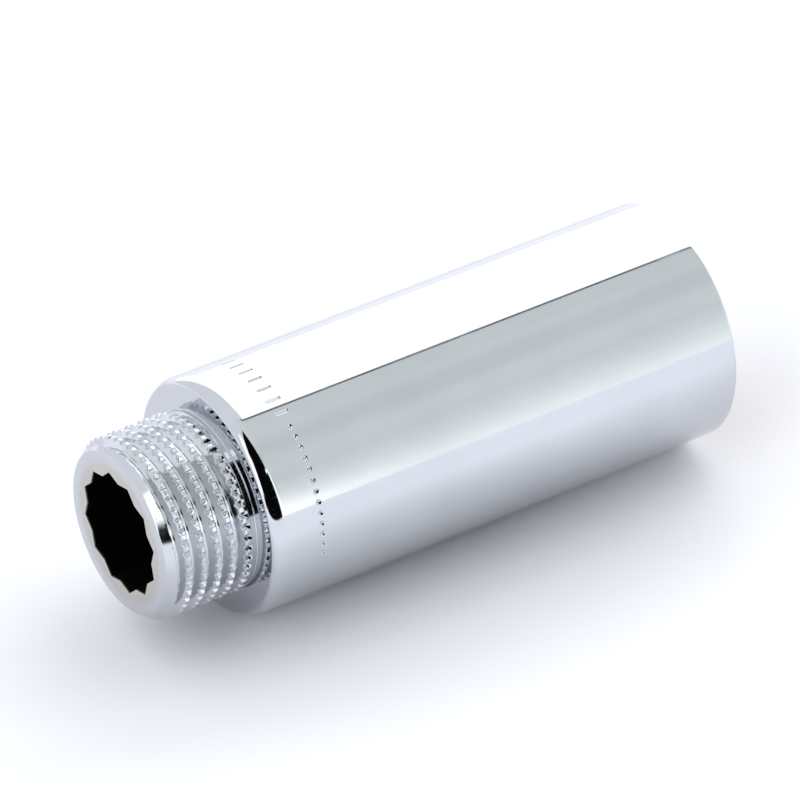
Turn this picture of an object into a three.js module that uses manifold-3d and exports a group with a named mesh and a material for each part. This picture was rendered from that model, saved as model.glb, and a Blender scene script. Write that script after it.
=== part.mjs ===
// Chrome-plated brass tap extension, 60 mm: male G1/2 thread on a spigot with a 12-point drive socket, a plain
// round barrel, and a female G1/2 socket in the far end.
//
// Frame: millimetres, +Z up. The fitting lies on its side with its axis along X: male end at -X, female end at
// +X. The origin is the centre of the bounding box, on the axis.
//
// The real fitting is one turned body. Here it is five closed sections that nest with a hair of clearance, split
// where the machined features and the finishes meet.

import * as THREE from "three";
import { mergeVertices } from "three/addons/utils/BufferGeometryUtils.js";
import Module from "manifold-3d";

// ---- Driving dimensions ----

const BARREL_DIAMETER = 27;
const BARREL_LENGTH = 60; // nominal length of the extension: shoulder face to socket end
const SPIGOT_LENGTH = 11; // shoulder face to male end face
const SHOULDER_EDGE_AXIAL = 1.65; // rounded edge of the barrel at the shoulder
const SHOULDER_EDGE_RADIAL = 0.8;
const SOCKET_EDGE = 0.4; // rounded edge of the barrel at the socket end
const WEB_THICKNESS = 3; // end wall of the barrel, behind the shoulder face
const SKIN_THICKNESS = 2; // barrel wall outside the lined bore
const SHOULDER_SEAT_DIAMETER = 21; // a washer that passes the male thread bears outside this

const PITCH = 25.4 / 14; // G1/2: 14 threads per inch, 55 degree Whitworth form
const FLANK_ANGLE = THREE.MathUtils.degToRad(27.5);
const MAJOR_DIAMETER = 20.955;
const MINOR_DIAMETER = 18.631;
const MALE_CREST_DIAMETER = 20.7; // the notched crests are a little under the full major diameter
const MALE_THREAD_PHASE = 79; // degrees about the axis at which the groove runs out in the neck

const NECK_DIAMETER = 20.1; // plain neck between the last crest and the shoulder
const NECK_LENGTH = 0.65;
const SPIGOT_FACE_DIAMETER = 18.4; // flat end face of the spigot, inside its chamfer
const SPIGOT_CHAMFER = THREE.MathUtils.degToRad(37); // slope of the end chamfer from the axis

const DRIVE_ACROSS_FLATS = 12.3; // takes a 12 mm hexagon key
const DRIVE_POINTS = 12;
const DRIVE_PHASE = 15.7; // degrees: direction of one point of the socket, from +Y towards +Z
const DRIVE_LINING_DIAMETER = 16.5;

const WATERWAY_DIAMETER = 16;
const SOCKET_THREAD_LENGTH = 15;
const SOCKET_THREAD_PHASE = 5; // degrees about the axis at which the groove starts in the relief
const SOCKET_RELIEF_LENGTH = 3;
const SOCKET_RELIEF_DIAMETER = 21.2;
const SOCKET_MOUTH_DIAMETER = 21.4; // outer edge of the 45 degree countersink at the mouth

const CLEARANCE = 0.05; // between sections that nest
const GROOVE_OVERRUN = 0.1; // how far a thread's cut reaches past the crests
const FACETS = 36; // round the axis: the barrel rests on a flat 2.4 mm wide

// ---- Stations along the axis, measured from the centre of the bounding box ----

const SOCKET_END = (BARREL_LENGTH + SPIGOT_LENGTH) / 2;
const SHOULDER = SOCKET_END - BARREL_LENGTH;
const MALE_END = SHOULDER - SPIGOT_LENGTH;
const WEB_BACK = SHOULDER + WEB_THICKNESS;
const STOP_FACE = SOCKET_END - SOCKET_THREAD_LENGTH - SOCKET_RELIEF_LENGTH;

const BARREL_RADIUS = BARREL_DIAMETER / 2;
const LINING_RADIUS = BARREL_RADIUS - SKIN_THICKNESS;
const NECK_RADIUS = NECK_DIAMETER / 2;
const MINOR_RADIUS = MINOR_DIAMETER / 2;
const MAJOR_RADIUS = MAJOR_DIAMETER / 2;

const wasm = await Module();
wasm.setup();

// ---- Solids ----

// A ring turned about the X axis. The outline is [station, radius] corners, anticlockwise with X to the right
// and radius up, and closes on itself. Facets touch the true circle at their middles, with one straight down.
function turned(outline) {
  const halfFacet = Math.PI / FACETS;
  const points = outline.map(([x, r]) => new THREE.Vector2(r / Math.cos(halfFacet), x)).reverse();
  points.push(points[0].clone());
  const ring = new THREE.LatheGeometry(points, FACETS, halfFacet);
  ring.rotateZ(-Math.PI / 2);
  return ring;
}

// Corners of a quarter of an ellipse, from the angle start to the angle end in quarter turns.
function roundedEdge(centreX, centreR, axial, radial, start, end, steps) {
  return Array.from({ length: steps + 1 }, (_, i) => {
    const angle = (Math.PI / 2) * (start + ((end - start) * i) / steps);
    return [centreX + axial * Math.cos(angle), centreR + radial * Math.sin(angle)];
  });
}

// A right-handed screw line about the X axis. Its frames keep a thread's section in the plane of the axis:
// section x is radial, section y runs along the axis towards the male end.
class ScrewLine extends THREE.Curve {
  constructor(startX, turns, phaseDegrees) {
    super();
    this.startX = startX;
    this.turns = turns;
    this.phase = THREE.MathUtils.degToRad(phaseDegrees);
  }

  radial(t) {
    const angle = this.phase + 2 * Math.PI * this.turns * t;
    return new THREE.Vector3(0, Math.cos(angle), Math.sin(angle));
  }

  // Unit radius, so that a section at radius r is placed by its own x of r - 1.
  getPoint(t) {
    const point = this.radial(t);
    point.x = this.startX + PITCH * this.turns * t;
    return point;
  }

  computeFrenetFrames(segments) {
    const stations = Array.from({ length: segments + 1 }, (_, i) => i / segments);
    const axis = new THREE.Vector3(-1, 0, 0);
    return {
      normals: stations.map((t) => this.radial(t)),
      binormals: stations.map(() => axis.clone()),
      tangents: stations.map((t) => this.radial(t).cross(axis)),
    };
  }
}

// The V groove of a thread as a solid: a trapezoid that runs along a screw line. rootRadius is where its narrow
// flat lies, and openRadius is where it stops, just past the crests that it cuts.
function threadGroove(startX, turns, phaseDegrees, rootRadius, openRadius) {
  const rootHalf = PITCH / 12;
  const openHalf = rootHalf + Math.abs(openRadius - rootRadius) * Math.tan(FLANK_ANGLE);
  const reach = 1 / Math.cos(Math.PI / FACETS);
  const root = rootRadius * reach - 1;
  const open = openRadius * reach - 1;
  const section = new THREE.Shape([
    new THREE.Vector2(root, -rootHalf),
    new THREE.Vector2(open, -openHalf),
    new THREE.Vector2(open, openHalf),
    new THREE.Vector2(root, rootHalf),
  ]);
  return new THREE.ExtrudeGeometry(section, {
    steps: Math.round(turns * FACETS),
    extrudePath: new ScrewLine(startX, turns, phaseDegrees),
  });
}

function asSolid(geometry) {
  const bare = geometry.clone();
  bare.deleteAttribute("normal");
  bare.deleteAttribute("uv");
  const merged = mergeVertices(bare, 1e-4);
  return new wasm.Manifold(
    new wasm.Mesh({
      numProp: 3,
      vertProperties: merged.attributes.position.array,
      triVerts: new Uint32Array(merged.index.array),
    }),
  );
}

function asGeometry(solid) {
  const mesh = solid.getMesh();
  const geometry = new THREE.BufferGeometry();
  geometry.setAttribute("position", new THREE.BufferAttribute(mesh.vertProperties, 3));
  geometry.setIndex(new THREE.BufferAttribute(mesh.triVerts, 1));
  geometry.computeVertexNormals();
  return geometry;
}

// ---- Sections of the fitting ----

// Outer skin, shoulder face and socket end face, with both outer edges rounded.
function barrel() {
  return turned([
    [SHOULDER, NECK_RADIUS + CLEARANCE],
    [WEB_BACK, NECK_RADIUS + CLEARANCE],
    [WEB_BACK, LINING_RADIUS],
    [SOCKET_END, LINING_RADIUS],
    ...roundedEdge(SOCKET_END - SOCKET_EDGE, BARREL_RADIUS - SOCKET_EDGE, SOCKET_EDGE, SOCKET_EDGE, 0, 1, 3),
    ...roundedEdge(
      SHOULDER + SHOULDER_EDGE_AXIAL,
      BARREL_RADIUS - SHOULDER_EDGE_RADIAL,
      SHOULDER_EDGE_AXIAL,
      SHOULDER_EDGE_RADIAL,
      1,
      2,
      4,
    ),
    [SHOULDER, SHOULDER_SEAT_DIAMETER / 2],
  ]);
}

// Male thread with its chamfered end and plain neck. It runs on through the barrel's end wall.
function maleSpigot() {
  const crest = MALE_CREST_DIAMETER / 2;
  const face = SPIGOT_FACE_DIAMETER / 2;
  const bore = DRIVE_LINING_DIAMETER / 2 + CLEARANCE;
  const chamferLength = (crest - face) / Math.tan(SPIGOT_CHAMFER);
  const blank = turned([
    [MALE_END, bore],
    [WEB_BACK, bore],
    [WEB_BACK, NECK_RADIUS],
    [SHOULDER - NECK_LENGTH, NECK_RADIUS],
    [SHOULDER - NECK_LENGTH, crest],
    [MALE_END + chamferLength, crest],
    [MALE_END, face],
  ]);
  const turns = Math.ceil(SPIGOT_LENGTH / PITCH);
  const startX = SHOULDER - PITCH / 2 - turns * PITCH;
  const groove = threadGroove(startX, turns, MALE_THREAD_PHASE, MINOR_RADIUS, crest + GROOVE_OVERRUN);
  return asGeometry(asSolid(blank).subtract(asSolid(groove)));
}

// The broached 12-point socket: two hexagons turned by 30 degrees, through a round lining.
function driveBore() {
  const tip = DRIVE_ACROSS_FLATS / Math.sqrt(3);
  const valley = DRIVE_ACROSS_FLATS / 2 / Math.cos(Math.PI / DRIVE_POINTS);
  const lining = new THREE.Shape().absarc(0, 0, DRIVE_LINING_DIAMETER / 2, 0, 2 * Math.PI);
  const star = Array.from({ length: 2 * DRIVE_POINTS }, (_, i) => {
    const angle = THREE.MathUtils.degToRad(DRIVE_PHASE) + (i * Math.PI) / DRIVE_POINTS;
    const radius = i % 2 === 0 ? tip : valley;
    return new THREE.Vector2(radius * Math.cos(angle), radius * Math.sin(angle));
  });
  lining.holes.push(new THREE.Path(star));
  const tube = new THREE.ExtrudeGeometry(lining, {
    depth: WEB_BACK - MALE_END,
    bevelEnabled: false,
    curveSegments: FACETS,
  });
  // Section x, y and the extrusion become Y, Z and X.
  const turn = new THREE.Matrix4().makeBasis(
    new THREE.Vector3(0, 1, 0),
    new THREE.Vector3(0, 0, 1),
    new THREE.Vector3(1, 0, 0),
  );
  return tube.applyMatrix4(turn).translate(MALE_END, 0, 0);
}

// Plain bore from the drive socket to the stop face at the bottom of the female thread. A pipe end that has
// passed the thread can bear on the stop face inside the thread's minor radius.
function waterway() {
  const outer = LINING_RADIUS - CLEARANCE;
  const bore = WATERWAY_DIAMETER / 2;
  return turned([
    [WEB_BACK + CLEARANCE, bore],
    [STOP_FACE, bore],
    [STOP_FACE, MINOR_RADIUS],
    [STOP_FACE, outer],
    [WEB_BACK + CLEARANCE, outer],
  ]);
}

// Female thread with a relief at its bottom and a countersunk mouth.
function femaleThread() {
  const outer = LINING_RADIUS - CLEARANCE;
  const relief = SOCKET_RELIEF_DIAMETER / 2;
  const mouth = SOCKET_MOUTH_DIAMETER / 2;
  const threadStart = STOP_FACE + SOCKET_RELIEF_LENGTH;
  const blank = turned([
    [STOP_FACE + CLEARANCE, relief],
    [threadStart, relief],
    [threadStart, MINOR_RADIUS],
    [SOCKET_END - (mouth - MINOR_RADIUS), MINOR_RADIUS],
    [SOCKET_END, mouth],
    [SOCKET_END, outer],
    [STOP_FACE + CLEARANCE, outer],
  ]);
  const turns = Math.ceil(SOCKET_THREAD_LENGTH / PITCH) + 1;
  const groove = threadGroove(
    threadStart - PITCH / 2,
    turns,
    SOCKET_THREAD_PHASE,
    MAJOR_RADIUS,
    MINOR_RADIUS - GROOVE_OVERRUN,
  );
  return asGeometry(asSolid(blank).subtract(asSolid(groove)));
}

// ---- The fitting ----

const CHROME = { color: 0xd5d9de, roughness: 0.06, metalness: 1 };
const BRASS = { color: 0xb89650, roughness: 0.3, metalness: 1 };
const DARK_BRASS = { color: 0x3a2c1a, roughness: 0.55, metalness: 0.8 };

const fitting = new THREE.Group();
for (const [name, geometry, finish] of [
  ["barrel", barrel(), CHROME],
  ["male_spigot", maleSpigot(), CHROME],
  ["drive_bore", driveBore(), DARK_BRASS],
  ["waterway", waterway(), BRASS],
  ["female_thread", femaleThread(), BRASS],
]) {
  const section = new THREE.Mesh(geometry, new THREE.MeshStandardMaterial(finish));
  section.name = name;
  fitting.add(section);
}

export default fitting;
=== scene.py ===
import math

import bpy
import numpy as np
from mathutils import Matrix, Vector


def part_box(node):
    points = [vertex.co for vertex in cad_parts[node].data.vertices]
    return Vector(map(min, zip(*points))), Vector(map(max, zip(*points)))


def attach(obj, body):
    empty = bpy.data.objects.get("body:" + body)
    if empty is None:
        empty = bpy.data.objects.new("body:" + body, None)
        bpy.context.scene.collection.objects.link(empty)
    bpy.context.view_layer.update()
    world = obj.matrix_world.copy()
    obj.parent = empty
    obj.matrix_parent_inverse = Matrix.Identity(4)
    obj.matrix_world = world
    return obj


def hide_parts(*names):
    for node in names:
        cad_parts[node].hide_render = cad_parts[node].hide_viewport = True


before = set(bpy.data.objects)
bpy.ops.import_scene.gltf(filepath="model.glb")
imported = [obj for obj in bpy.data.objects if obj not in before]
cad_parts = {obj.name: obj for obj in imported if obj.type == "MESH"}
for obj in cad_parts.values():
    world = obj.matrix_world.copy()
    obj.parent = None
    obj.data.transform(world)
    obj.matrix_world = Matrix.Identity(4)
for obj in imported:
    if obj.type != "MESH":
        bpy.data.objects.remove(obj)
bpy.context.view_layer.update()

# ---------------------------------------------------------------------------
# Sizes, in millimetres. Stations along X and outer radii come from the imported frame.
# The threads and sockets follow the CAD part. The crest notches and the stamped
# dots and dashes are only made here. Angles are about the X axis, from +Y towards +Z.
# ---------------------------------------------------------------------------

MM = 0.001


def span(node):
    """Lowest X, highest X and outer radius of a CAD node, in millimetres."""
    low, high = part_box(node)
    return low.x / MM, high.x / MM, high.z / MM


SHOULDER, SOCKET_END, BARREL_RADIUS = span("barrel")
MALE_END, WEB_BACK, CREST_RADIUS = span("male_spigot")
DRIVE_LINING_RADIUS = span("drive_bore")[2]
STOP_FACE, _, LINING_RADIUS = span("female_thread")

# Gap between sections that nest, and how far a machined corner is rounded over.
GAP = 0.05
CORNER = 0.05

# The barrel's edges, and the fillet where its shoulder meets the spigot.
SHOULDER_EDGE_AXIAL = 1.65
SHOULDER_EDGE_RADIAL = 0.8
SHOULDER_FILLET = 0.12
SOCKET_EDGE = 0.4

# G1/2 thread: 14 threads per inch, 55 degree Whitworth form, with a flat floor in the groove.
PITCH = 25.4 / 14
FLANK = math.tan(math.radians(27.5))
GROOVE_FLOOR = PITCH / 6
MINOR_RADIUS = 18.631 / 2
MAJOR_RADIUS = 20.955 / 2

# The spigot's neck. The groove fades out between two distances from the shoulder.
NECK_RADIUS = 10.05
NECK_LENGTH = 0.62
NECK_SLOPE = 1.6
GROOVE_RUN_OUT = math.radians(79)
GROOVE_FADE_START = 1.05
GROOVE_FADE_END = 0.58

# The spigot's flat end, and the rounded start and the rise per millimetre of its chamfer.
SPIGOT_FACE_RADIUS = 9.095
SPIGOT_EDGE_ROUND = 0.25
SPIGOT_EDGE_SLOPE = 0.75

# The V notches in the male thread's crest, which fade out towards the shoulder.
NOTCHES_PER_TURN = 50.35
NOTCH_HALF_WIDTH = 0.38
NOTCH_DEPTH = 0.40
NOTCH_TIP = 0.04
NOTCH_FADE_START = 1.35

# The 12-point socket, the bore behind it, and the female end.
DRIVE_ACROSS_FLATS = 12.3
DRIVE_PHASE = math.radians(15.7)
DRIVE_EDGE_ROUND = 0.08
WATERWAY_RADIUS = 8.0
STOP_EDGE_ROUND = 0.25
RELIEF_RADIUS = 10.6
RELIEF_LENGTH = 3.0
RELIEF_SLOPE = 1.2
SOCKET_THREAD_START = math.radians(5)
SOCKET_CREST_ROUND = 0.08
MOUTH_RADIUS = 10.7

# The stamped dots and dashes, on one line round the barrel this far from the shoulder.
MARK_STATION = 6.03
DOT_COUNT = 13
DOT_FIRST = math.radians(122.5)
DOT_STEP = math.radians(5.24)
DOT_RADIUS = 0.33
DOT_DEPTH = 0.16
DASH_COUNT = 7
DASH_FIRST = math.radians(69.0)
DASH_STEP = math.radians(7.6)
DASH_LENGTH = 1.9
DASH_WIDTH = 0.38
DASH_DEPTH = 0.15

# ---------------------------------------------------------------------------
# Camera. Its target is this far to the right of and above the middle of the shoulder face,
# as the camera sees them.
# ---------------------------------------------------------------------------

CAMERA_AZIMUTH = math.radians(-33.823)
CAMERA_ELEVATION = math.radians(35.601)
CAMERA_DISTANCE = 817.2 * MM
TARGET_RIGHT = 20.61 * MM
TARGET_UP = 10.53 * MM
LENS = 345.4
SENSOR_WIDTH = 36


def make_camera():
    a, e = CAMERA_AZIMUTH, CAMERA_ELEVATION
    back = Vector((math.sin(a) * math.cos(e), -math.cos(a) * math.cos(e), math.sin(e)))
    right = Vector((0, 0, 1)).cross(back).normalized()
    up = back.cross(right)
    target = Vector((SHOULDER * MM, 0, 0)) + right * TARGET_RIGHT + up * TARGET_UP
    data = bpy.data.cameras.new("camera")
    data.lens = LENS
    data.sensor_width = SENSOR_WIDTH
    data.clip_start = 0.05
    data.clip_end = 20
    camera = bpy.data.objects.new("camera", data)
    bpy.context.scene.collection.objects.link(camera)
    turn = Matrix((right, up, back)).transposed().to_4x4()
    camera.matrix_world = Matrix.Translation(target + back * CAMERA_DISTANCE) @ turn
    bpy.context.scene.camera = camera


# ---------------------------------------------------------------------------
# Meshes. Every section is a closed ring about the X axis.
# ---------------------------------------------------------------------------


def smooth(low, high, value):
    """0 below low, 1 above high, and a smooth curve between."""
    s = np.clip((value - low) / (high - low), 0, 1)
    return s * s * (3 - 2 * s)


def soft_min(a, b, width):
    """The smaller of a and b, with the corner between them rounded over about width."""
    h = np.clip(0.5 + 0.5 * (b - a) / width, 0, 1)
    return b + (a - b) * h - width * h * (1 - h)


def soft_max(a, b, width):
    """The larger of a and b, with the corner rounded over."""
    return -soft_min(-a, -b, width)


def even_angles(columns):
    return np.arange(columns) * 2 * math.pi / columns


def rows_of(values, angles):
    """A grid with a row for each value and a column for each angle."""
    return np.array(values, float)[:, None] * np.ones((1, len(angles)))


def ring_piece(name, x, r, angles, sharp_degrees):
    """A closed ring about the X axis.

    x and r have a row for each point of the section's outline and a column for each angle.
    """
    rows, cols = x.shape
    y = r * np.cos(angles)
    z = r * np.sin(angles)
    points = np.stack([x, y, z], -1).reshape(-1, 3) * MM
    j, i = np.meshgrid(np.arange(rows), np.arange(cols), indexing="ij")
    j2, i2 = (j + 1) % rows, (i + 1) % cols
    corners = [j * cols + i, j2 * cols + i, j2 * cols + i2, j * cols + i2]
    quads = np.stack(corners, -1).reshape(-1, 4)
    mesh = bpy.data.meshes.new(name)
    mesh.vertices.add(len(points))
    mesh.vertices.foreach_set("co", points.ravel())
    mesh.loops.add(quads.size)
    mesh.loops.foreach_set("vertex_index", quads.ravel())
    mesh.polygons.add(len(quads))
    mesh.polygons.foreach_set("loop_start", np.arange(len(quads)) * 4)
    mesh.update(calc_edges=True)
    mesh.polygons.foreach_set("use_smooth", np.ones(len(quads), bool))
    mesh.set_sharp_from_angle(angle=math.radians(sharp_degrees))
    piece = bpy.data.objects.new(name, mesh)
    bpy.context.scene.collection.objects.link(piece)
    return piece


def outline_grid(outline, angles):
    """Grids of stations and radii, from an outline of (station, radius) points."""
    stations, radii = zip(*outline)
    return rows_of(stations, angles), rows_of(radii, angles)


def arc(centre_x, centre_r, axial, radial, start, end, steps):
    """Points of a part of an ellipse, from start to end in quarter turns."""
    turn = np.linspace(start, end, steps + 1) * math.pi / 2
    return [(centre_x + axial * math.cos(q), centre_r + radial * math.sin(q)) for q in turn]


def line(x0, r0, x1, r1, steps):
    """Points from one corner of an outline to the next, without the last one."""
    s = np.arange(steps) / steps
    return [(x0 + (x1 - x0) * q, r0 + (r1 - r0) * q) for q in s]


def groove_offset(x, angles, centre, centre_angle):
    """Distance along X from the nearest groove's middle line, and that line's station."""
    line_x = centre + PITCH * (angles - centre_angle) / (2 * math.pi)
    offset = (x - line_x + PITCH / 2) % PITCH - PITCH / 2
    return offset, x - offset


def flank_rise(offset):
    """Height above the groove's floor at a distance along X from its middle line."""
    return np.maximum(np.abs(offset) - GROOVE_FLOOR / 2, 0) / FLANK


def barrel_columns():
    """Angles round the barrel, close together where the stamped dots and dashes are."""
    margin = 0.06
    fine_step = 0.055 / BARREL_RADIUS
    coarse_count = 220
    fine_low = DASH_FIRST - margin
    fine_high = DOT_FIRST + DOT_STEP * (DOT_COUNT - 1) + margin
    fine = np.arange(fine_low, fine_high, fine_step)
    coarse = np.linspace(fine_high, fine_low + 2 * math.pi, coarse_count, endpoint=False)
    return np.concatenate([fine, coarse])


def stamped_depth(x, angles, mark):
    """Depth of the dots and dashes stamped in the barrel along the station mark."""
    cut = np.zeros_like(x)
    for k in range(DOT_COUNT):
        across = (angles - DOT_FIRST - k * DOT_STEP) * BARREL_RADIUS
        away = np.hypot(x - mark, across) / DOT_RADIUS
        cut = np.maximum(cut, DOT_DEPTH * (1 - smooth(0.15, 1, away)))
    for k in range(DASH_COUNT):
        across = np.abs(angles - DASH_FIRST - k * DASH_STEP) * BARREL_RADIUS
        along = np.maximum(np.abs(x - mark) - (DASH_LENGTH - DASH_WIDTH) / 2, 0)
        away = np.hypot(across, along) / (DASH_WIDTH / 2)
        cut = np.maximum(cut, DASH_DEPTH * (1 - smooth(0.1, 1, away)))
    return cut


def make_barrel():
    angles = barrel_columns()
    skin = BARREL_RADIUS
    inside = LINING_RADIUS + GAP
    mark = SHOULDER + MARK_STATION
    mark_low, mark_high = mark - 1.1, mark + 1.1
    edge_x = SHOULDER + SHOULDER_EDGE_AXIAL
    edge_r = skin - SHOULDER_EDGE_RADIAL
    far_x = SOCKET_END - SOCKET_EDGE
    far_r = skin - SOCKET_EDGE
    fillet = SHOULDER_FILLET
    outline = []
    outline += arc(SHOULDER - fillet, NECK_RADIUS + 0.01 + fillet, fillet, fillet, -1, 0, 5)
    outline += line(SHOULDER, NECK_RADIUS + 0.2, SHOULDER, edge_r - 0.1, 8)
    outline += [(SHOULDER, edge_r - 0.1)]
    outline += arc(edge_x, edge_r, SHOULDER_EDGE_AXIAL, SHOULDER_EDGE_RADIAL, 2, 1, 28)
    outline += line(edge_x + 0.2, skin, mark_low, skin, 6)
    outline += line(mark_low, skin, mark_high, skin, 40)
    outline += line(mark_high, skin, far_x - 0.2, skin, 24)
    outline += [(far_x - 0.2, skin)]
    outline += arc(far_x, far_r, SOCKET_EDGE, SOCKET_EDGE, 1, 0, 14)
    outline += line(SOCKET_END, far_r - 0.1, SOCKET_END, inside, 4)
    outline += line(SOCKET_END, inside, WEB_BACK, inside, 3)
    outline += line(WEB_BACK, inside, WEB_BACK, NECK_RADIUS + 0.02, 2)
    outline += [(WEB_BACK, NECK_RADIUS + 0.02)]
    x, r = outline_grid(outline[::-1], angles)
    on_skin = r > skin - 1e-6
    r = r - stamped_depth(x, angles, mark) * on_skin
    return ring_piece("barrel_shell", x, r, angles, 20)


def notch_depth(x, angles, centre):
    """Depth of the V notches of the hemp grip.

    They are cut along the axis and evenly spaced along the thread's crest. The count of
    turns changes in the groove, a little off its middle line.
    """
    count_change = 0.2
    crest_phase = GROOVE_RUN_OUT / (2 * math.pi) - 0.5
    turns = (x - centre) / PITCH - angles / (2 * math.pi) + crest_phase
    phase = (angles / (2 * math.pi) + np.round(turns - count_change)) * NOTCHES_PER_TURN
    spacing = 2 * math.pi * CREST_RADIUS / NOTCHES_PER_TURN
    along = np.abs((phase % 1) - 0.5) * spacing
    notch = NOTCH_DEPTH * (1 - np.hypot(along, NOTCH_TIP) / NOTCH_HALF_WIDTH)
    on_thread = 1 - smooth(SHOULDER - NOTCH_FADE_START, SHOULDER - NECK_LENGTH, x)
    return soft_max(notch, np.zeros_like(notch), CORNER) * on_thread


def make_male_spigot():
    angles = even_angles(1080)
    bore = DRIVE_LINING_RADIUS + 0.005
    lean = math.pi / 2 - math.atan(SPIGOT_EDGE_SLOPE)
    round_end = MALE_END + SPIGOT_EDGE_ROUND * (1 - math.cos(lean))
    edge_x = MALE_END + SPIGOT_EDGE_ROUND * (1 - np.cos(np.linspace(0, lean, 7)))
    thread_x = np.linspace(round_end + 0.05, SHOULDER, 200)
    hidden_x = np.linspace(SHOULDER, WEB_BACK, 3)[1:]
    x = rows_of(np.concatenate([edge_x, thread_x, hidden_x]), angles)

    # The thread: a groove that fades out at the neck, under notched crests.
    centre = SHOULDER - PITCH / 2
    offset, station = groove_offset(x, angles, centre, GROOVE_RUN_OUT)
    fade = smooth(SHOULDER - GROOVE_FADE_START, SHOULDER - GROOVE_FADE_END, station)
    floor = CREST_RADIUS - (CREST_RADIUS - MINOR_RADIUS) * (1 - fade)
    crest = CREST_RADIUS - notch_depth(x, angles, centre)
    r = soft_min(floor + flank_rise(offset), crest, CORNER)

    # The neck, and the chamfer with its rounded start.
    neck = NECK_RADIUS + np.maximum(SHOULDER - NECK_LENGTH - x, 0) * NECK_SLOPE
    r = soft_min(r, neck, CORNER)
    to_round = np.maximum(SPIGOT_EDGE_ROUND - (x - MALE_END), 0)
    rounded = SPIGOT_FACE_RADIUS + np.sqrt(np.maximum(SPIGOT_EDGE_ROUND**2 - to_round**2, 0))
    cone_start = SPIGOT_FACE_RADIUS + SPIGOT_EDGE_ROUND * math.sin(lean)
    cone = cone_start + SPIGOT_EDGE_SLOPE * (x - round_end)
    r = soft_min(r, np.where(x < round_end, rounded, cone), CORNER)
    r = np.where(x >= SHOULDER - 1e-6, NECK_RADIUS, r)

    face_r = rows_of(np.linspace(bore, SPIGOT_FACE_RADIUS - 0.05, 12), angles)
    face_x = MALE_END * np.ones_like(face_r)
    bore_x = rows_of([WEB_BACK, (WEB_BACK + MALE_END) / 2], angles)
    bore_r = bore * np.ones_like(bore_x)
    xs = np.concatenate([face_x, x, bore_x])
    rs = np.concatenate([face_r, r, bore_r])
    return ring_piece("male_thread_spigot", xs[::-1], rs[::-1], angles, 35)


def star_radius(angles):
    """Radius of the 12-point socket's outline: two hexagons turned by 30 degrees."""
    step = math.pi / 6
    local = (angles - DRIVE_PHASE + step / 2) % step - step / 2
    return DRIVE_ACROSS_FLATS / 2 / np.cos(math.pi / 6 - np.abs(local))


def make_drive_bore():
    per_edge = 8
    angles = DRIVE_PHASE + even_angles(24 * per_edge)
    star = star_radius(angles)
    outer = DRIVE_LINING_RADIUS
    edge = DRIVE_EDGE_ROUND
    xs, rs = [], []

    def row(x, r):
        xs.append(x * np.ones_like(angles))
        rs.append(r * np.ones_like(angles))

    row(WEB_BACK, outer)
    row(MALE_END, outer)
    for s in np.linspace(0.15, 0.95, 6):
        row(MALE_END, outer + (star + edge - outer) * s)
    for turn in np.linspace(0, math.pi / 2, 4):
        row(MALE_END + edge * (1 - math.cos(turn)), star + edge * (1 - math.sin(turn)))
    for s in np.linspace(0.1, 1, 10):
        row(MALE_END + (WEB_BACK - MALE_END) * s, star)
    return ring_piece("drive_bore_lining", np.array(xs), np.array(rs), angles, 20)


def make_waterway():
    angles = even_angles(256)
    front, back = WEB_BACK + GAP, STOP_FACE - GAP
    bore, edge = WATERWAY_RADIUS, STOP_EDGE_ROUND
    outline = []
    outline += line(front, LINING_RADIUS, front, bore, 4)
    outline += line(front, bore, back - edge, bore, 40)
    outline += arc(back - edge, bore + edge, edge, edge, -1, 0, 5)
    outline += line(back, bore + edge + 0.05, back, LINING_RADIUS, 8)
    outline += [(back, LINING_RADIUS)]
    x, r = outline_grid(outline, angles)
    return ring_piece("waterway_lining", x, r, angles, 25)


def make_female_thread():
    angles = even_angles(300)
    thread_start = STOP_FACE - GAP + RELIEF_LENGTH
    relief_x = np.linspace(STOP_FACE, thread_start - 0.1, 5)
    thread_x = np.linspace(thread_start, SOCKET_END, 240)
    x = rows_of(np.concatenate([relief_x, thread_x]), angles)
    offset, _ = groove_offset(x, angles, thread_start - PITCH / 2, SOCKET_THREAD_START)
    r = MAJOR_RADIUS - flank_rise(offset)
    r = soft_max(r, MINOR_RADIUS * np.ones_like(r), SOCKET_CREST_ROUND)
    r = soft_max(r, MOUTH_RADIUS - (SOCKET_END - x), CORNER)
    relief = RELIEF_RADIUS - np.maximum(x - thread_start, 0) * RELIEF_SLOPE
    r = np.maximum(r, relief)

    end_r = rows_of(np.linspace(MOUTH_RADIUS + 0.05, LINING_RADIUS, 5), angles)
    end_x = SOCKET_END * np.ones_like(end_r)
    back_x = rows_of([(SOCKET_END + STOP_FACE) / 2, STOP_FACE], angles)
    back_r = LINING_RADIUS * np.ones_like(back_x)
    xs = np.concatenate([x, end_x, back_x])
    rs = np.concatenate([r, end_r, back_r])
    return ring_piece("female_thread_lining", xs, rs, angles, 30)


# ---------------------------------------------------------------------------
# Materials.
# ---------------------------------------------------------------------------


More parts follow.
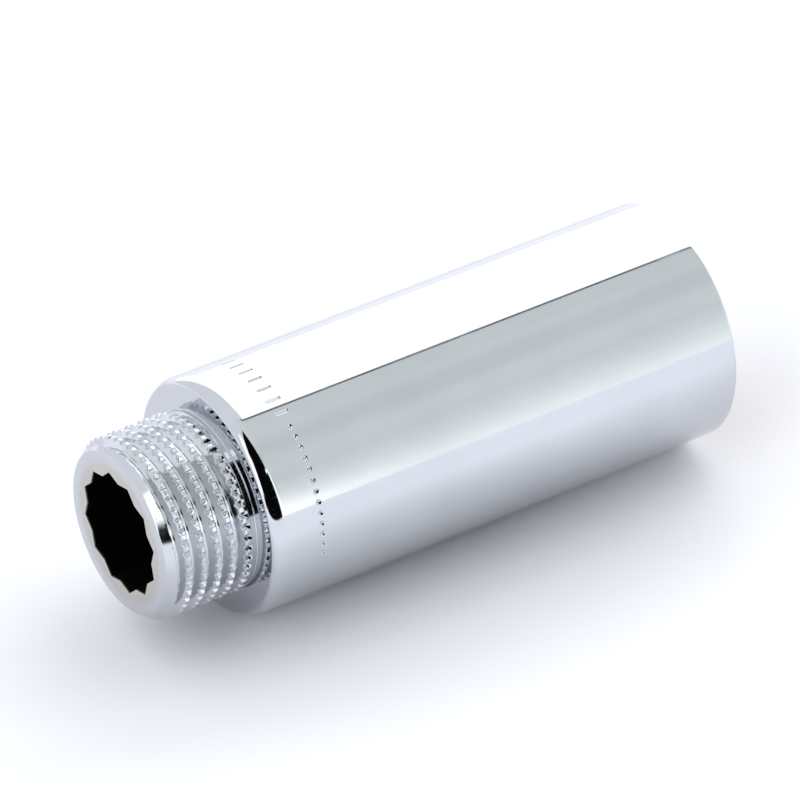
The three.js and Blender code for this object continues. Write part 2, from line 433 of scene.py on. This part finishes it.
class Tree:
    """A shader node tree, with short calls that add a node and wire it up."""

    def __init__(self, tree):
        self.tree = tree

    def wire(self, sockets, values):
        """Link the values that are sockets, and set the others."""
        for socket, value in zip(sockets, values):
            if isinstance(value, bpy.types.NodeSocket):
                self.tree.links.new(value, socket)
            else:
                socket.default_value = value

    def add(self, kind, inputs, **settings):
        node = self.tree.nodes.new(kind)
        for key, value in settings.items():
            setattr(node, key, value)
        self.wire([node.inputs[key] for key in inputs], inputs.values())
        return node

    def math(self, operation, *values):
        inputs = dict(enumerate(values))
        return self.add("ShaderNodeMath", inputs, operation=operation).outputs[0]

    def product(self, *values):
        result = values[0]
        for value in values[1:]:
            result = self.math("MULTIPLY", result, value)
        return result

    def blend(self, value, low, high, curve="LINEAR"):
        """0 where value is low, 1 where it is high, and a line or a curve between."""
        inputs = {"Value": value, "From Min": low, "From Max": high}
        node = self.add("ShaderNodeMapRange", inputs, interpolation_type=curve)
        return node.outputs["Result"]

    def step(self, value, low, high):
        """0 where value is low, 1 where it is high, and a smooth curve between."""
        return self.blend(value, low, high, "SMOOTHSTEP")

    def mix(self, factor, low, high):
        """low where factor is 0, and high where it is 1."""
        colours = [c if isinstance(c, bpy.types.NodeSocket) else (*c, 1) for c in (low, high)]
        inputs = {0: factor, 6: colours[0], 7: colours[1]}
        return self.add("ShaderNodeMix", inputs, data_type="RGBA").outputs[2]

    def ramp(self, factor, stops):
        node = self.add("ShaderNodeValToRGB", {"Fac": factor})
        elements = node.color_ramp.elements
        while len(elements) < len(stops):
            elements.new(0.5)
        for element, (place, colour) in zip(elements, stops):
            element.position = place
            element.color = (*colour, 1)
        return node.outputs["Color"]


class Finish(Tree):
    """A material on the standard shader, laid out in the object's own coordinates."""

    def __init__(self, name):
        self.material = bpy.data.materials.new(name)
        self.material.use_nodes = True
        super().__init__(self.material.node_tree)
        self.shader = self.tree.nodes["Principled BSDF"]
        self.where = self.add("ShaderNodeTexCoord", {}).outputs["Object"]

    def set(self, key, value):
        self.wire([self.shader.inputs[key]], [value])

    def scaled(self, scale, shift=(0, 0, 0)):
        inputs = {"Vector": self.where, "Scale": scale, "Location": shift}
        return self.add("ShaderNodeMapping", inputs).outputs[0]

    def reach(self, stretch, shift=(0, 0, 0)):
        """Distance from the object's centre, with each axis scaled and then shifted first."""
        inputs = {0: self.scaled(stretch, shift)}
        return self.add("ShaderNodeVectorMath", inputs, operation="LENGTH").outputs["Value"]

    def noise(self, scale, detail, stretch=(1, 1, 1), roughness=0.5):
        inputs = {"Vector": self.scaled(stretch), "Scale": scale}
        inputs |= {"Detail": detail, "Roughness": roughness}
        return self.add("ShaderNodeTexNoise", inputs).outputs["Fac"]

    def two_tone(self, factor, low, high):
        """One colour up to a factor of 0.3, another from 0.7, and a ramp between."""
        return self.ramp(factor, [(0.3, low), (0.7, high)])

    def grey(self, factor, low_place, low, high_place, high):
        """A grey that runs from low at one value of factor to high at another."""
        return self.ramp(factor, [(low_place, (low,) * 3), (high_place, (high,) * 3)])

    def bump(self, height, strength, distance, under=None):
        inputs = {"Height": height, "Strength": strength, "Distance": distance}
        if under is not None:
            inputs["Normal"] = under
        return self.add("ShaderNodeBump", inputs).outputs[0]


def chrome(name, waviness, low_rough, high_rough):
    """Chrome plate with a slight roll, fine hairlines along the axis and faint smudges."""
    n = Finish(name)
    n.set("Metallic", 1.0)
    n.set("Base Color", n.two_tone(n.noise(90, 4), (0.55, 0.57, 0.60), (0.59, 0.61, 0.64)))
    rub = n.noise(700, 5, (0.12, 1, 1), 0.6)
    polish = n.grey(rub, 0.35, low_rough, 0.75, high_rough)
    smudge = n.grey(n.noise(110, 4, (0.6, 1, 1), 0.7), 0.52, 0.0, 0.72, 0.05)
    hairline = n.grey(n.noise(2400, 2, (0.03, 1, 1)), 0.64, 0.0, 0.72, 1.0)
    worn = n.math("ADD", polish, smudge)
    n.set("Roughness", n.math("MULTIPLY_ADD", hairline, 0.12, worn))
    roll = n.bump(n.noise(60, 2, (0.5, 1, 1)), waviness, 0.04 * MM)
    grain = n.bump(rub, 0.03, 0.01 * MM, roll)
    n.set("Normal", n.bump(hairline, 0.3, 0.002 * MM, grain))
    return n.material


def bare_brass(name):
    """Bare turned brass with tool marks round the axis."""
    n = Finish(name)
    n.set("Metallic", 1.0)
    n.set("Base Color", n.two_tone(n.noise(220, 5), (0.58, 0.41, 0.18), (0.74, 0.56, 0.27)))
    n.set("Roughness", n.grey(n.noise(900, 3), 0.3, 0.22, 0.7, 0.36))
    tool_marks = n.noise(1400, 2, (1, 0.02, 0.02))
    n.set("Normal", n.bump(tool_marks, 0.35, 0.03 * MM))
    return n.material


def drive_face_and_painted_shade(name):
    """Pale plating on the spigot's end face that stops just inside the drive bore, where
    painted shade takes over: the bore walls are coloured near black.
    """
    n = Finish(name)
    split = n.add("ShaderNodeSeparateXYZ", {"Vector": n.where})
    # Painted shade: past the mouth of the drive bore the walls are coloured near black, and
    # made duller.
    depth = n.blend(split.outputs["X"], (MALE_END + 0.05) * MM, (MALE_END + 0.22) * MM)
    rim_start = DRIVE_LINING_RADIUS - 0.6
    rim = n.blend(n.reach((0, 1, 1)), rim_start * MM, DRIVE_LINING_RADIUS * MM)
    cloud = n.noise(260, 5)
    warm = n.two_tone(cloud, (0.50, 0.495, 0.465), (0.55, 0.54, 0.505))
    # The near-black colour painted as shade on the bore walls, with a faint random tone.
    inside = n.two_tone(cloud, (0.0015, 0.0012, 0.001), (0.004, 0.003, 0.002))
    plating = n.mix(rim, warm, (0.57, 0.59, 0.62))
    n.set("Base Color", n.mix(depth, plating, inside))
    n.set("Specular IOR Level", 0.05)
    n.set("Metallic", n.math("MULTIPLY_ADD", depth, -0.7, 1.0))
    rub = n.noise(900, 4)
    satin = n.grey(rub, 0.3, 0.14, 0.7, 0.24)
    n.set("Roughness", n.math("MULTIPLY_ADD", depth, 0.45, satin))
    n.set("Normal", n.bump(rub, 0.15, 0.02 * MM))
    return n.material


def floor_with_painted_glow(name):
    """A pale sheet that glows with painted light, like a light table: less behind the object,
    and none under it, which paints a deeper contact shadow there.
    """
    n = Finish(name)
    n.set("Base Color", n.two_tone(n.noise(9, 3), (0.945, 0.942, 0.98), (0.97, 0.966, 0.99)))
    n.set("Roughness", 0.75)
    n.set("Specular IOR Level", 0.2)
    # Painted light: the glow rises away from the object and fades out under it, painting its
    # contact shadow. Far from the object the glow grows stronger.
    outside_painted_contact_shadow = n.blend(n.reach((0.3, 1, 0)), 6 * MM, 18 * MM)
    away = n.blend(n.reach((0.5, 1, 0), (0, -40 * MM, 0)), 62 * MM, 95 * MM)
    glow = n.math("MULTIPLY_ADD", away, 0.25, n.math("MULTIPLY", outside_painted_contact_shadow, 0.15))
    # The painted glow's colour, a pale blue.
    n.set("Emission Color", (0.84, 0.86, 1.0, 1))
    n.set("Emission Strength", glow)
    return n.material


# ---------------------------------------------------------------------------
# Stage: floor, and a studio all round it made of broad soft lights.
# ---------------------------------------------------------------------------

FLOOR_HALF = 3.0

# Colours of the studio's parts. STUDIO_STRENGTH multiplies them all.
STUDIO_STRENGTH = 1.4
SCREEN_TINT = (0.95, 1.0, 0.99)
SCREEN_PATCH = (1.4, 1.4, 1.4)
SIDE_WALL = (0.72, 0.74, 0.76)
SIDE_STRIP = (1.4, 1.4, 1.4)
PANEL = (1.35, 1.35, 1.35)
DARK_ROOM = (0.002, 0.002, 0.0025)
LAMP = (1.6, 1.6, 1.6)
BACK_WALL = (0.74, 0.75, 0.79)
SOFT_BOX = (1.36, 1.36, 1.38)
BOX_RIM = (0.07, 0.07, 0.08)

# The screen's brightness at heights given as sines of the elevation.
SCREEN = [
    (0.0, 1.03), (0.05, 0.99), (0.17, 0.90), (0.29, 0.815), (0.41, 0.74), (0.515, 0.685),
    (0.61, 0.715), (0.695, 0.71), (0.765, 0.65), (0.82, 0.645), (0.86, 0.67), (1.0, 0.72),
]


def make_floor():
    mesh = bpy.data.meshes.new("floor")
    z = -BARREL_RADIUS * MM
    corners = [(-1, -1), (1, -1), (1, 1), (-1, 1)]
    points = [(FLOOR_HALF * x, FLOOR_HALF * y, z) for x, y in corners]
    mesh.from_pydata(points, [], [(0, 1, 2, 3)])
    floor = bpy.data.objects.new("floor", mesh)
    bpy.context.scene.collection.objects.link(floor)
    # The floor's material holds a painted glow and a painted contact shadow.
    mesh.materials.append(floor_with_painted_glow("floor_pale_painted_glow"))


def make_studio():
    """Light from every direction. Each part is laid over the ones before it.

    around is in degrees from -Y towards +X, and dz is the sine of the elevation. In n.step,
    a part's edge starts at the first number and is full at the second.
    """
    world = bpy.data.worlds.new("studio")
    bpy.context.scene.world = world
    world.use_nodes = True
    n = Tree(world.node_tree)
    direction = n.add("ShaderNodeTexCoord", {}).outputs["Generated"]
    dx, dy, dz = n.add("ShaderNodeSeparateXYZ", {0: direction}).outputs
    around = n.math("DEGREES", n.math("ARCTAN2", dx, n.math("MULTIPLY", dy, -1.0)))

    # A pale grey screen in front of the socket end, lighter near the floor and uneven.
    stops = [(place, [level * tint for tint in SCREEN_TINT]) for place, level in SCREEN]
    patches = n.add("ShaderNodeTexNoise", {"Vector": direction, "Scale": 5.0}).outputs["Fac"]
    uneven = n.math("MULTIPLY_ADD", patches, 0.24, -0.12)
    colour = n.mix(uneven, n.ramp(dz, stops), SCREEN_PATCH)

    # A white wall beyond the spigot's end, and a brighter strip of it beside the dark side.
    left = n.step(around, -48, -54)
    colour = n.mix(left, colour, SIDE_WALL)
    strip = n.product(left, n.step(around, -85, -79), n.step(dz, 0.94, 0.90))
    colour = n.mix(strip, colour, SIDE_STRIP)

    # A narrow lit panel at the other edge of the dark side.
    panel = n.product(n.step(around, 20, 22), n.step(around, 27, 25.5))
    panel = n.product(panel, n.step(dz, -0.02, 0.02), n.step(dz, 0.8, 0.6))
    colour = n.mix(panel, colour, PANEL)

    # The dark side of the room, round the camera. It is widest near the floor and overhead.
    narrow = n.step(around, -56, -50)
    low = n.product(n.step(around, -68, -63), n.step(dz, 0.24, 0.16))
    high = n.product(n.step(around, -68, -62), n.step(dz, 0.66, 0.78))
    wide = n.math("MAXIMUM", n.math("MAXIMUM", narrow, low), high)
    overhead = n.math("ADD", dy, n.math("MULTIPLY", dx, -0.43))
    shade = n.product(n.step(around, 22.5, 20.5), wide, n.step(dz, 0.0, 0.02))
    shade = n.product(shade, n.step(overhead, -0.06, -0.11))
    colour = n.mix(shade, colour, DARK_ROOM)

    # A small lamp in it.
    lamp = n.product(n.step(around, 14, 15), n.step(around, 21, 20))
    lamp = n.product(lamp, n.step(dz, 0.655, 0.67), n.step(dz, 0.71, 0.695))
    colour = n.mix(lamp, colour, LAMP)

    # A white wall at the back, and the soft box over it with a thin dark rim at its front.
    # These are laid out on a level plane overhead.
    height = n.math("MAXIMUM", dz, 0.001)
    towards_back = n.math("DIVIDE", dy, height)
    towards_socket = n.math("DIVIDE", dx, height)
    behind = n.step(towards_back, 0.13, 0.15)
    colour = n.mix(behind, colour, BACK_WALL)
    box = n.product(behind, n.step(towards_socket, 0.45, 0.5))
    colour = n.mix(box, colour, SOFT_BOX)
    front = n.product(n.step(towards_back, 0.10, 0.115), n.step(towards_back, 0.145, 0.13))
    rim = n.product(front, n.step(towards_socket, 0.3, 0.4))
    colour = n.mix(rim, colour, BOX_RIM)

    n.wire(n.tree.nodes["Background"].inputs, (colour, STUDIO_STRENGTH))


# ---------------------------------------------------------------------------
# The scene.
# ---------------------------------------------------------------------------

make_camera()
make_floor()
make_studio()
bpy.context.scene.view_settings.view_transform = "Standard"

bright = chrome("chrome_bright", 0.10, 0.03, 0.08)
thread_chrome = chrome("chrome_thread", 0.12, 0.06, 0.14)
bare = bare_brass("brass_bare")
# The drive face's plating, with painted shade inside the drive bore.
dark = drive_face_and_painted_shade("plating_and_painted_shade")

for piece, node, finish, material in (
    (make_barrel(), "barrel", "chrome_polished", bright),
    (make_male_spigot(), "male_spigot", "chrome_thread", thread_chrome),
    (make_drive_bore(), "drive_bore", "brass_darkened", dark),
    (make_waterway(), "waterway", "brass_bare", bare),
    (make_female_thread(), "female_thread", "brass_bare", bare),
):
    piece.data.materials.append(material)
    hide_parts(node)
    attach(piece, "root")
